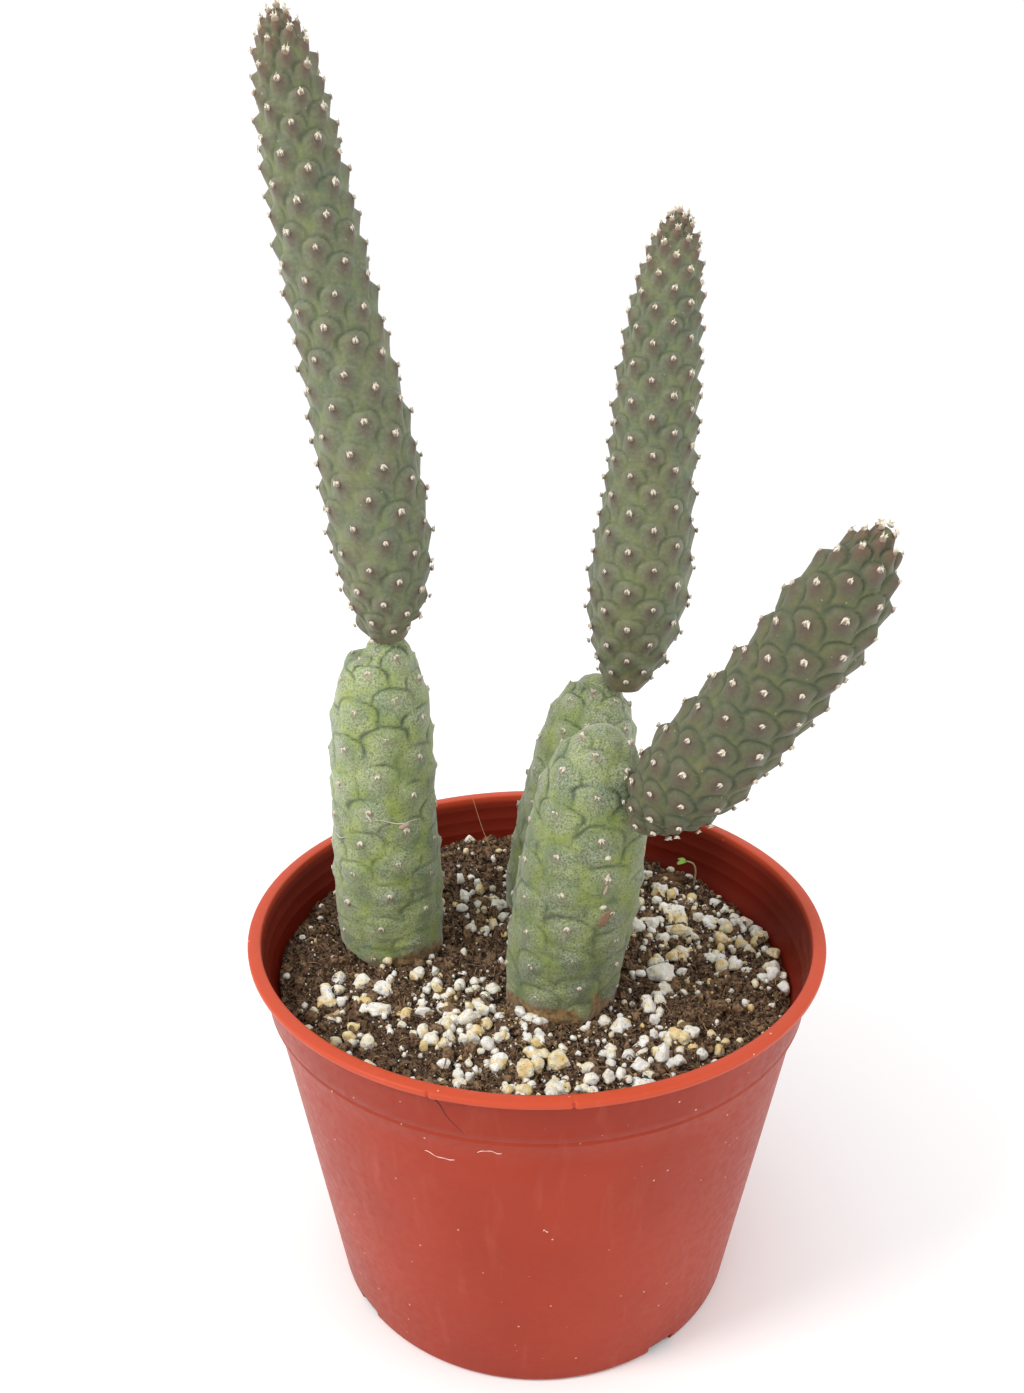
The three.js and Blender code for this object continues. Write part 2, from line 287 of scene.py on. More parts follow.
def young_stem_look(name, green, dull, line):
    """Grey-green skin; dull is its colour round the areoles, and line how dark the painted shade in its
    creases is.
    """
    look = Look(name, 0.55, Sheen_Weight=0.12, Sheen_Roughness=0.5, Specular_IOR_Level=0.35)
    cloudy = look.noise(13, 2)
    fine = look.noise(0.9, 4)
    blue = tuple(channel * share for channel, share in zip(green, (0.80, 0.95, 1.15)))
    flesh = look.mix(look.span(cloudy, 0.40, 0.62), blue, green)
    clouds = look.span(look.noise(4, 2), 0.42, 0.62)
    bright = look.sum("MULTIPLY", clouds, look.span(look.mark("lift"), 0.6, 0.1))
    light = tuple(channel * share for channel, share in zip(green, (1.35, 1.45, 0.98)))
    flesh = look.mix(look.sum("MULTIPLY", bright, 0.75), flesh, light)
    flesh = look.mix(look.sum("MULTIPLY", look.mark("halo"), 0.9), flesh, dull)
    bloom = look.span(fine, 0.42, 0.70, 0.0, 0.5)
    flesh = look.mix(bloom, flesh, tuple(channel * 1.75 for channel in dull))
    # painted shadow: a brown smear below each areole, under its tuft
    shadow_brown = look.mix(look.noise(1.2, 3), (0.045, 0.027, 0.018), (0.11, 0.07, 0.045))
    patch = look.sum("MULTIPLY", look.mark("patch"), look.span(look.noise(0.8, 3), 0.3, 0.6, 0.6, 1))
    flesh = look.mix(look.sum("MULTIPLY", patch, 0.9), flesh, shadow_brown)
    flush = look.span(look.mark("along"), 0.86, 1.0, 0, 0.75)
    flesh = look.mix(look.sum("MULTIPLY", flush, look.mark("lift")), flesh, (0.16, 0.075, 0.05))
    neck = look.span(look.mark("along"), 0.0, 0.07, 0.75, 0)
    flesh = look.mix(neck, flesh, (0.15, 0.095, 0.055))
    # painted shade: the creases between the scales darkened towards dark green
    flesh = look.mix(look.sum("MULTIPLY", look.mark("groove"), line), flesh, (0.028, 0.042, 0.024))
    specks = look.span(look.cells(3.1), 0.04, 0.08, 0.45, 0)
    flesh = look.mix(specks, flesh, (0.40, 0.40, 0.31))
    rough = look.span(fine, 0.3, 0.8, 0.48, 0.68)
    return look.finish(flesh, rough, [(fine, 0.16), (look.noise(3.5, 3), 0.25)])


def old_stem_look(name, shade):
    """Dusty pale green skin with a corky foot. shade darkens the green skin, as painted shade."""
    look = Look(name, 0.65, Sheen_Weight=0.35 * shade, Sheen_Roughness=0.5, Specular_IOR_Level=0.3)
    fine = look.noise(0.5, 4, rough=0.7)
    skin = look.noise(2.2, 4)
    flesh = look.mix(look.span(look.noise(10, 3), 0.40, 0.60), (0.12, 0.175, 0.075), (0.19, 0.25, 0.075))
    valley = look.span(look.mark("lift"), 0.75, 0.15)
    yellow = look.sum("MULTIPLY", look.span(look.noise(6, 3), 0.40, 0.58), valley)
    flesh = look.mix(look.sum("MULTIPLY", yellow, 0.85), flesh, (0.27, 0.34, 0.055))
    grey = look.span(look.noise(7, 3), 0.40, 0.60, 0.12, 0.65)
    ends = look.span(look.mark("along"), 0.78, 0.98, 0, 0.35)
    share = look.sum("ADD", look.sum("ADD", grey, ends), look.span(look.mark("lift"), 0.2, 0.9, 0, 0.3))
    dust = look.sum("MULTIPLY", look.span(fine, 0.43, 0.56, 0, 0.85), share)
    flesh = look.mix(dust, flesh, (0.44, 0.46, 0.37))
    pits = look.span(look.noise(0.55, 3), 0.36, 0.45, 0.6, 0)
    flesh = look.mix(pits, flesh, (0.05, 0.075, 0.035))
    # painted shadow: a faint tan below each areole, under its tuft
    flesh = look.mix(look.sum("MULTIPLY", look.mark("patch"), 0.35), flesh, (0.22, 0.18, 0.12))
    # painted shade: the creases between the scales darkened towards dark green
    flesh = look.mix(look.sum("MULTIPLY", look.mark("groove"), 0.88), flesh, (0.025, 0.045, 0.026))
    # painted shade: the green skin darkened by the shade share
    flesh = look.mix(1.0, flesh, (shade, shade, shade * 0.95), "MULTIPLY")
    cork = look.mix(look.span(look.noise(1.4, 4), 0.35, 0.65), (0.11, 0.060, 0.021), (0.32, 0.20, 0.074))
    flesh = look.mix(look.mark("cork"), flesh, cork)
    rough = look.span(fine, 0.3, 0.8, 0.58, 0.78)
    return look.finish(flesh, rough, [(fine, 0.14), (skin, 0.35)])


def areole_look():
    look = Look("areole_wool", 0.8, Sheen_Weight=0.4)
    wool = look.mix(look.noise(0.4, 2), (0.78, 0.68, 0.52), (0.93, 0.87, 0.74))
    straw = look.mix(look.noise(0.5, 2), (0.07, 0.035, 0.018), (0.24, 0.14, 0.065))
    return look.finish(look.mix(look.mark("tone"), straw, wool), None, [(look.noise(0.3, 2), 0.05)])


def pot_look():
    look = Look("pot_plastic", 0.4, Specular_IOR_Level=0.2)
    broad = look.noise(45, 2)
    plastic = look.mix(look.span(broad, 0.35, 0.65), (0.275, 0.022, 0.0043), (0.325, 0.028, 0.0066))
    # painted shade: the plastic from the collar up, under the rim's lip, darkened
    collar = look.span(look.height(), 0.0895, 0.0920, 0, 0.4)
    plastic = look.mix(collar, plastic, (0.22, 0.014, 0.003))
    # painted highlight: the top of the rim's lip lightened
    rim = look.span(look.height(), 0.1028, 0.1040)
    plastic = look.mix(look.sum("MULTIPLY", rim, 0.75), plastic, (0.56, 0.075, 0.030))
    streak = look.span(look.noise(5, 4, (1, 1, 0.12)), 0.58, 0.78, 0, 0.14)
    plastic = look.mix(streak, plastic, (0.55, 0.17, 0.11))
    dust = look.span(look.cells(4.2), 0.04, 0.075, 0.8, 0)
    dust = look.sum("MULTIPLY", dust, look.span(look.noise(9, 2), 0.45, 0.51))
    plastic = look.mix(dust, plastic, (0.72, 0.50, 0.40))
    # painted shade: the pot's inner wall and floor darkened
    plastic = look.mix(look.mark("inside"), plastic, (0.155, 0.012, 0.0046))
    rough = look.span(look.noise(2.2, 3), 0.3, 0.7, 0.34, 0.47)
    return look.finish(plastic, rough, [(look.noise(0.8, 3), 0.02), (look.noise(14, 2), 0.12)])


def peat_look():
    look = Look("peat", 0.95, Specular_IOR_Level=0.2)
    crumb = look.noise(1.3, 6, rough=0.65)
    peat = look.mix(look.span(crumb, 0.44, 0.58), (0.008, 0.005, 0.0035), (0.20, 0.118, 0.070))
    peat = look.mix(look.span(look.noise(6, 3), 0.45, 0.7, 0, 0.5), peat, (0.075, 0.035, 0.018))
    pale = look.span(look.noise(0.45, 3), 0.59, 0.69, 0, 0.8)
    peat = look.mix(pale, peat, (0.44, 0.32, 0.21))
    return look.finish(peat, None, [(crumb, 1.2), (look.noise(0.4, 3), 0.3)])


def litter_look():
    """Fibres and crumbs, from dark peat to golden straw by tone."""
    look = Look("peat_fibre", 0.85, Specular_IOR_Level=0.25)
    grain = look.noise(0.7, 3)
    dark = look.mix(look.span(grain, 0.40, 0.60), (0.010, 0.006, 0.004), (0.22, 0.130, 0.078))
    straw = look.mix(grain, (0.26, 0.15, 0.065), (0.46, 0.31, 0.16))
    return look.finish(look.mix(look.mark("tone"), dark, straw), None, [(grain, 0.15)])


def grain_look(name, pale, stain, stain_share):
    look = Look(name, 0.85, Specular_IOR_Level=0.3)
    pits = look.noise(0.5, 4, rough=0.7)
    stone = look.mix(look.span(look.noise(2.2, 3), 0.35, 0.7), pale, (0.72, 0.70, 0.64))
    blotch = look.span(look.noise(2.6, 4), 0.62 - stain_share, 0.74 - stain_share * 0.6, 0, 0.9)
    stone = look.mix(blotch, stone, stain)
    rust = look.span(look.noise(1.1, 4), 0.66, 0.76, 0, 0.7)
    stone = look.mix(rust, stone, (0.40, 0.22, 0.08))
    dirt = look.span(pits, 0.33, 0.42, 0.85, 0)
    stone = look.mix(dirt, stone, (0.10, 0.065, 0.04))
    return look.finish(stone, None, [(pits, 0.3), (look.noise(1.4, 3), 0.3)])


def bark_look():
    look = Look("bark", 0.85, Specular_IOR_Level=0.25)
    layers = look.noise(2.4, 4, (1, 1, 3))
    bark = look.mix(look.span(layers, 0.35, 0.65), (0.035, 0.015, 0.008), (0.17, 0.085, 0.038))
    bark = look.mix(look.span(look.noise(1.2, 3), 0.58, 0.7, 0, 0.5), bark, (0.30, 0.19, 0.085))
    return look.finish(bark, None, [(layers, 0.6), (look.noise(0.6, 3), 0.2)])


def twig_look():
    look = Look("twig", 0.8, Specular_IOR_Level=0.3)
    strands = look.noise(1.6, 4, (0.7, 0.7, 3))
    wood = look.mix(look.span(strands, 0.35, 0.65), (0.24, 0.15, 0.08), (0.55, 0.42, 0.27))
    return look.finish(wood, None, [(strands, 0.3)])


def seedling_look():
    look = Look("seedling", 0.5, Subsurface_Weight=0.1, Specular_IOR_Level=0.4)
    leaf = look.mix(look.noise(0.8, 2), (0.12, 0.30, 0.025), (0.26, 0.46, 0.07))
    stalk = look.mix(look.noise(1.5, 2), (0.30, 0.24, 0.15), (0.42, 0.30, 0.20))
    return look.finish(look.mix(look.mark("leaf"), stalk, leaf), None, [(look.noise(0.6, 2), 0.05)])


def floor_look():
    look = Look("floor", 0.7, Specular_IOR_Level=0.2)
    return look.finish(look.mix(look.noise(300, 2), (0.93, 0.93, 0.93), (0.95, 0.95, 0.95)))


# ---------------------------------------------------------------- stems

# How each segment grew. divergence is the turn from one areole to the next and start the first
# one's, in degrees. first is where the count of areoles starts at the foot. rise is how far
# apart their levels are at the foot, middle and tip, in millimetres. All but the back lower
# segment's values were fitted by another program to the areoles that the photograph shows.
GROWTH = {
    "left_lower_segment": {"divergence": 136.33, "start": 50.3, "first": 0.0, "rise": (1.28, 1.17, 1.6)},
    "left_upper_segment": {"divergence": 137.66, "start": 240.1, "first": 0.04, "rise": (0.75, 0.93, 0.87)},
    "back_lower_segment": {"divergence": -136.4, "start": 70.0, "first": 0.3, "rise": (1.1, 1.15, 1.3)},
    "back_upper_segment": {"divergence": 138.13, "start": 324.7, "first": 0.0, "rise": (0.79, 0.79, 0.8)},
    "front_lower_segment": {"divergence": -136.33, "start": 150.1, "first": 0.2, "rise": (1.02, 1.08, 1.7)},
    "front_upper_segment": {"divergence": -137.61, "start": 231.2, "first": 1.0, "rise": (0.73, 0.87, 1.3)},
}
# Size of a face of the skin, then how far the skin swells at an areole and how deep its creases
# are, the height up to which old stems are corky, and half the width of a crease.
CELL = 0.52
OLD_SWELL, OLD_GROOVE = 0.75, 0.28
YOUNG_SWELL, YOUNG_GROOVE = 1.6, 0.32
CORK_HEIGHT = 93.0
LINE = 0.34


def slice_node(node, count):
    """Middle and radius of a CAD segment in planes across its length."""
    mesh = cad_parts[node].data
    points = np.empty(len(mesh.vertices) * 3)
    mesh.vertices.foreach_get("co", points)
    points = points.reshape(-1, 3) / MM
    pairs = np.empty(len(mesh.edges) * 2, dtype=np.int32)
    mesh.edges.foreach_get("vertices", pairs)
    pairs = pairs.reshape(-1, 2)
    middle = points.mean(axis=0)
    along = np.linalg.svd(points - middle, full_matrices=False)[2][0]
    along *= math.copysign(1, along[2])
    across = np.cross((0, 1, 0), along)
    across /= np.linalg.norm(across)
    away = np.cross(along, across)
    level = (points - middle) @ along
    centres, radii = [], []
    for cut in np.linspace(level.min() + 0.35, level.max() - 0.25, count):
        low, high = level[pairs[:, 0]], level[pairs[:, 1]]
        crossing = (low - cut) * (high - cut) < 0
        part = ((cut - low) / np.where(crossing, high - low, 1))[crossing, None]
        first, second = points[pairs[crossing, 0]], points[pairs[crossing, 1]]
        ring = first + (second - first) * part - middle
        flat = np.stack([ring @ across, ring @ away], axis=-1)
        about = flat - flat.mean(axis=0)
        flat = flat[np.argsort(np.arctan2(about[:, 1], about[:, 0]))]
        after = np.roll(flat, -1, axis=0)
        cross = flat[:, 0] * after[:, 1] - after[:, 0] * flat[:, 1]
        area = cross.sum() / 2
        centroid = ((flat + after) * cross[:, None]).sum(axis=0) / (6 * area)
        centres.append(middle + along * cut + across * centroid[0] + away * centroid[1])
        radii.append(math.sqrt(abs(area) / math.pi) * 1.008)
    return np.array(centres), np.array(radii)


def soften(values, rounds):
    for _ in range(rounds):
        values[1:-1] = (values[:-2] + 2 * values[1:-1] + values[2:]) / 4
    return values


class Segment:
    """A stem segment's smooth skin, measured along the skin from its foot."""

    def __init__(self, node):
        centres, radii = slice_node(node, 90)
        centres = soften(centres, 6)
        radii = soften(radii, 3)
        steps = np.linalg.norm(np.diff(centres, axis=0), axis=1)
        skin = np.concatenate([[0], np.cumsum(np.hypot(steps, np.diff(radii)))])
        self.length = skin[-1]
        self.skin, self.centres, self.radii = skin, centres, radii
        ahead = np.gradient(centres, axis=0)
        self.ahead = ahead / np.linalg.norm(ahead, axis=1)[:, None]
        self.slope = np.gradient(radii) / np.maximum(np.linalg.norm(ahead, axis=1), 1e-6)

    def radius(self, skin):
        return np.interp(skin, self.skin, self.radii)

    def lay(self, skin, turn):
        """Points on the skin, its outward normals and its directions towards the tip."""

        def spread(values):
            columns = [np.interp(skin, self.skin, values[:, axis]) for axis in range(3)]
            return np.stack(columns, axis=-1)

        centre, ahead = spread(self.centres), spread(self.ahead)
        ahead /= np.linalg.norm(ahead, axis=-1)[..., None]
        across = np.cross((0, 1, 0), ahead)
        across /= np.linalg.norm(across, axis=-1)[..., None]
        away = np.cross(ahead, across)
        radial = np.cos(turn)[..., None] * across + np.sin(turn)[..., None] * away
        lean = np.arctan(np.interp(skin, self.skin, self.slope))[..., None]
        normal = radial * np.cos(lean) - ahead * np.sin(lean)
        upward = radial * np.sin(lean) + ahead * np.cos(lean)
        return centre + radial * self.radius(skin)[..., None], normal, upward


def areoles(segment, growth):
    """Skin distance and turn of each areole, and how far apart their levels are there."""
    skin = np.linspace(0, segment.length, 600)
    rise = np.interp(skin / segment.length, (0, 0.5, 1), growth["rise"])
    rise = rise * np.minimum(1, 0.35 + 0.65 * segment.radius(skin) / segment.radii.max())
    count = np.concatenate([[0], np.cumsum((skin[1] - skin[0]) / ((rise[1:] + rise[:-1]) / 2))])
    order = np.arange(int(count[-1]) + 1)
    level = np.interp(order + growth["first"], count, skin)
    turn = np.radians(growth["start"] + order * growth["divergence"]) % TAU
    return np.stack([level, turn, np.interp(level, skin, rise)], axis=-1)


def scale_lines(skin, turn, radius, spots, size, shape, wobble):
    """Lines where each areole's round-topped scale laps over the scales above it.

    A scale reaches out to the side and up by the shape's shares of the areoles' spacing.
    """
    wide, tall = shape[0] * size, shape[1] * size

    def place(spot):
        side = ((turn - spot[1] + math.pi) % TAU - math.pi) * radius
        up = skin - spot[0]
        reach = np.hypot(side / wide, np.maximum(up, 0) / tall) + wobble
        return up, reach

    lowest = np.full(skin.shape, -1e9)
    for spot in spots:
        up, reach = place(spot)
        lowest = np.where((reach < 1) & (up > -1.2 * size), np.maximum(lowest, up), lowest)
    line = np.zeros(skin.shape)
    for spot in spots:
        up, reach = place(spot)
        seen = (up >= lowest - 1e-6) & (up < 1.2 * tall)
        fade = np.exp(np.minimum(up, 0) / (0.30 * size))
        line = np.maximum(line, np.where(seen, np.exp(-(((reach - 1) * tall / LINE) ** 2)) * fade, 0))
    return line


def stem_skin(segment, spots, old, crisp):
    """Points of the swollen skin, and its marks for the material."""
    sides = int(TAU * segment.radii.max() / CELL)
    rows = int(segment.length / CELL)
    skin = np.linspace(0, segment.length, rows)[:, None] * np.ones((1, sides))
    turn = np.ones((rows, 1)) * (np.arange(sides) / sides * TAU)[None, :]
    base, normal, upward = segment.lay(skin, turn)
    radius = segment.radius(skin)
    nearest = np.full(skin.shape, 1e9)
    above, beside, pitch = np.zeros(skin.shape), np.zeros(skin.shape), np.ones(skin.shape)
    for spot_skin, spot_turn, rise in spots:
        up = skin - spot_skin
        side = ((turn - spot_turn + math.pi) % TAU - math.pi) * radius
        far = np.hypot(side * 0.95, up / np.where(up > 0, 0.72, 1.30))
        closer = far < nearest
        above = np.where(closer, up, above)
        beside = np.where(closer, side, beside)
        pitch = np.where(closer, rise, pitch)
        nearest = np.minimum(nearest, far)
    size = np.sqrt(TAU * radius * pitch)
    mound = np.exp(-((nearest / (0.40 * size)) ** 2))
    peak = np.exp(-((nearest / 1.5) ** 2))
    shape = (0.62, 0.31) if old else (0.56, 0.36)
    groove = scale_lines(skin, turn, radius, spots, size, shape, lumps(base, 3.5, 5) * 0.16)
    broken = smoothstep(-0.35, 0.25, lumps(base, 5, 9) + (0.5 if crisp else 0.0))
    groove = groove * (0.25 + 0.75 * broken)
    # patch is where the painted shadow below each areole's tuft goes, longer downwards
    tear = np.where(above < 0, 2.3, 1.0)
    patch = np.exp(-((beside / 1.55) ** 2) - ((above + 0.2) / tear) ** 2)
    halo = np.exp(-((beside / (0.27 * size)) ** 2) - ((above + 0.12 * size) / (0.30 * size)) ** 2)
    along = skin / segment.length
    ends = smoothstep(1, 9, skin) * smoothstep(0, 6 if old else 3, segment.length - skin)
    if old:
        worn = smoothstep(0.15, 0.85, along)
        groove = groove * (0.6 + 0.4 * worn)
        wrinkle = lumps(base * (0.3, 0.3, 1), 1.5, 14) * (0.26 - 0.12 * worn) + lumps(base, 5, 15) * 0.3
        rise = OLD_SWELL * (mound * 0.9 + peak * 0.4) - OLD_GROOVE * groove + wrinkle
        rise -= OLD_SWELL * 0.7
        hook = 0.05
    else:
        rough = lumps(base, 2.2, 3) * 0.08 + lumps(base, 6, 4) * 0.15
        stature = 0.68 + 0.42 * along
        rise = YOUNG_SWELL * stature * (mound * 0.8 + peak * 0.25)
        rise = rise - (YOUNG_GROOVE + (0.15 if crisp else 0)) * groove + rough
        rise -= YOUNG_SWELL * 0.7
        hook = 0.28
    rise = rise * ends
    lean_up = np.clip(rise + YOUNG_SWELL * 0.7, 0, None) * hook * ends
    points = base + normal * rise[..., None] + upward * lean_up[..., None]
    cork_edge = CORK_HEIGHT + lumps(base, 6, 21) * 5.0 + lumps(base, 1.6, 22) * 1.2
    marks = {
        # groove also places the painted shade of the creases in the skin colour
        "groove": groove * ends,
        # patch places the painted shadow below each tuft
        "lift": mound,
        "patch": patch * ends,
        "halo": halo * ends,
        "along": along,
        "cork": smoothstep(0.6, -0.8, base[..., 2] - cork_edge) if old else np.zeros(skin.shape),
    }
    return points, marks


def add_stem(node, look, old):
    segment = Segment(node)
    spots = areoles(segment, GROWTH[node])
    points, marks = stem_skin(segment, spots, old, node == "front_upper_segment")
    rows, sides = points.shape[:2]
    faces = grid_faces(rows, sides)
    caps = [points[0].mean(axis=0), points[-1].mean(axis=0) + segment.ahead[-1] * 0.4]
    count = rows * sides
    side = np.arange(sides)
    beside = (side + 1) % sides
    foot_fan = np.stack([np.full(sides, count), beside, side], axis=-1)
    top = (rows - 1) * sides
    tip_fan = np.stack([np.full(sides, count + 1), top + side, top + beside], axis=-1)
    everything = np.concatenate([points.reshape(-1, 3), caps])
    padded = {}
    for mark, values in marks.items():
        padded[mark] = np.append(values.ravel(), [values[0, 0], values[-1, 0]])
    uv = stem_map(rows, sides)
    add_piece(
        node.replace("_segment", "_stem"),
        everything,
        faces.tolist() + foot_fan.tolist() + tip_fan.tolist(),
        look,
        (node,),
        padded,
        uv,
    )
    add_tufts(node, segment, spots, old)


def stem_map(rows, sides):
    """A flat map of the skin: once round across the image, foot to tip up it."""
    across = np.arange(sides + 1) / sides * 0.98 + 0.01
    up = np.arange(rows) / (rows - 1) * 0.96 + 0.02
    left = np.tile(across[:-1], (rows - 1, 1))
    right = np.tile(across[1:], (rows - 1, 1))
    low = np.tile(up[:-1, None], (1, sides))
    high = np.tile(up[1:, None], (1, sides))
    corners = np.stack([left, low, right, low, right, high, left, high], axis=-1).reshape(-1, 2)
    middle = (across[:-1] + across[1:]) / 2
    foot = np.stack([middle, np.full(sides, 0.005), across[1:], np.full(sides, up[0]),
                     across[:-1], np.full(sides, up[0])], axis=-1).reshape(-1, 2)
    tip = np.stack([middle, np.full(sides, 0.995), across[:-1], np.full(sides, up[-1]),
                    across[1:], np.full(sides, up[-1])], axis=-1).reshape(-1, 2)
    return np.concatenate([corners, foot, tip])


# Each areole is a small woolly pad with pale strands that arch over it and hang down each side.
# None grow this near a segment's foot, or an old segment's tip.
YOUNG_STRANDS = 11
OLD_STRANDS = 7
BARE_FOOT, BARE_OLD_TIP = 4.5, 4.0


def add_tufts(node, segment, spots, old):
    heap = Heap()
    pad_points, pad_faces = BALLS[2]
    for skin, turn, _ in spots:
        base, normal, upward = segment.lay(np.array(skin), np.array(turn))
        worn_off = old and (segment.length - skin < BARE_OLD_TIP or base[2] < CORK_HEIGHT)
        if skin < BARE_FOOT or worn_off:
            continue
        side = np.cross(upward, normal)
        near_tip = smoothstep(0.85, 1.0, skin / segment.length)
        size = chance.uniform(0.8, 1.15) * (1.18 if old else 1.0) * (1 + 0.05 * near_tip)
        raise_by = (0.14 if old else 0.52) * smoothstep(1, 9, skin)
        middle = base + normal * raise_by + upward * (0.05 if old else 0.45)
        spin = chance.uniform(-0.35, 0.35)
        side, upward = (
            side * math.cos(spin) + upward * math.sin(spin),
            upward * math.cos(spin) - side * math.sin(spin),
        )

        def place(x, y, z):
            return middle + (side * x + upward * y + normal * z) * size

        pad = pad_points * (0.72, 0.70, 0.34)
        pad = pad * (1 + 0.2 * lumps(pad_points * 2, 1, int(skin * 7)))[:, None]
        laid = middle + (pad[:, :1] * side + pad[:, 1:2] * upward + pad[:, 2:] * normal) * size
        tone = 0.12 + 0.6 * smoothstep(0.0, 0.6, pad_points[:, 1])
        heap.add(laid, pad_faces, tone=tone)
        for strand in range(OLD_STRANDS if old else YOUNG_STRANDS):
            way = -1 if strand % 2 else 1
            bow = chance.uniform(0.25, 0.75) * way
            drop = chance.uniform(-0.3, 1.15) - 0.9 * near_tip
            path = [
                place(bow * 0.25, chance.uniform(0.25, 0.5), 0.24),
                place(bow * 0.8, 0.35 - 0.3 * drop, 0.40 + 0.25 * near_tip),
                place(bow * 1.15, 0.15 - drop, 0.28 + 0.55 * near_tip),
            ]
            add_strand(heap, path, chance.uniform(0.10, 0.16) * size)
        for _ in range(0 if old else 3):
            aim = chance.uniform(-0.5, 0.5)
            reach = chance.uniform(0.8, 1.3) * (1 + 0.5 * near_tip)
            path = [place(aim * 0.3, 0.3, 0.2), place(aim * 0.7, 0.6, 0.45), place(aim, reach, 0.5)]
            add_strand(heap, path, 0.10 * size)
    heap.make(node.replace("_segment", "_areoles"), WOOL, "old_stem" if old else "young_stem")


def add_strand(heap, path, width):
    """A pointed three-sided bristle through three places."""
    path = np.array(path)
    aim = path[2] - path[0]
    across = np.cross(aim, (0.21, 0.55, 0.81))
    across /= np.linalg.norm(across) + 1e-9
    away = np.cross(aim, across)
    away /= np.linalg.norm(away) + 1e-9
    turns = np.arange(3) / 3 * TAU
    ring = width * (np.cos(turns)[:, None] * across + np.sin(turns)[:, None] * away)
    points = np.concatenate([path[0] + ring, path[1] + ring * 0.85, path[2:]])
    faces = [[0, 1, 4, 3], [1, 2, 5, 4], [2, 0, 3, 5], [3, 4, 6], [4, 5, 6], [5, 3, 6]]
    heap.add(points, faces, tone=[0.55, 0.55, 0.55, 1.0, 1.0, 1.0, 1.0])


def add_scars():
    """Healed scratches and a corky scar: node, distance along the skin, turn, reach, lean, tone."""
    front, left = "front_lower_segment", "left_lower_segment"
    patches = (
        (front, 54.6, 293, 2.5, 1.3, 62, 0.1),
        (front, 57.6, 289, 0.9, 0.5, 20, 0.9),
        (front, 65.4, 288, 1.7, 0.5, 80, 0.75),
        (front, 62.4, 288, 1.5, 0.4, 76, 0.4),
        (front, 71.2, 286, 0.75, 0.6, 30, 1.0),
        (left, 65.8, 261, 1.7, 0.25, -60, 1.0),
        (left, 62.6, 298, 1.5, 0.9, 10, 0.45),
    )
    heap = Heap()
    points, faces = BALLS[3]
    for node, skin, degrees, reach, width, lean, tone in patches:
        place, normal, upward = Segment(node).lay(np.array(float(skin)), np.array(math.radians(degrees)))
        side = np.cross(upward, normal)
        turn = math.radians(lean)
        long = side * math.cos(turn) + upward * math.sin(turn)
        across = upward * math.cos(turn) - side * math.sin(turn)
        shape = points * (1 + 0.3 * lumps(points, 0.7, int(skin * 10)))[:, None]
        laid = place + normal * 0.12 + shape[:, :1] * long * reach + shape[:, 1:2] * across * width
        heap.add(laid + shape[:, 2:] * normal * 0.45, faces, tone=tone)
    scratches = (
        (left, (64.9, 264), (62.8, 320)),
        (left, (57.4, 206), (58.4, 236)),
        (left, (67.0, 259), (64.2, 264)),
    )
    for node, start, end in scratches:
        part = np.linspace(0, 1, 18)
        skin = start[0] + (end[0] - start[0]) * part + 0.35 * np.sin(part * 9)
        turn = np.radians(start[1] + (end[1] - start[1]) * part)
        place, normal, _ = Segment(node).lay(skin, turn)
        shape, sides = tube(place + normal * 0.1, 0.16 * (1.1 - np.abs(2 * part - 1)), 4)
        heap.add(shape, sides, tone=1.0)
    look = Look("scar", 0.75)
    rust = look.mix(look.noise(0.7, 3), (0.08, 0.035, 0.015), (0.30, 0.15, 0.062))
    look.finish(look.mix(look.mark("tone"), rust, (0.62, 0.56, 0.46)), None, [(look.noise(0.5, 3), 0.1)])
    heap.make("stem_scars", look.material, "old_stem")


# ---------------------------------------------------------------- pot

# Radii and heights of the pot, and the turns of its nicks, with their depths, and drain slots
POT_SIDES = 216
RIM = {"outer": 76.0, "inner": 72.6, "top": 105.3, "thick": 1.7}
COLLAR = {"top": 73.8, "foot": 71.7, "low": 90.0}
BODY_TOP, BASE, WALL, FLOOR = 70.4, 56.2, 1.4, 1.8
NICKS = ((-108.0, 0.55), (-83.5, 0.7))
DRAINS = (-53, 37, 127, 217)


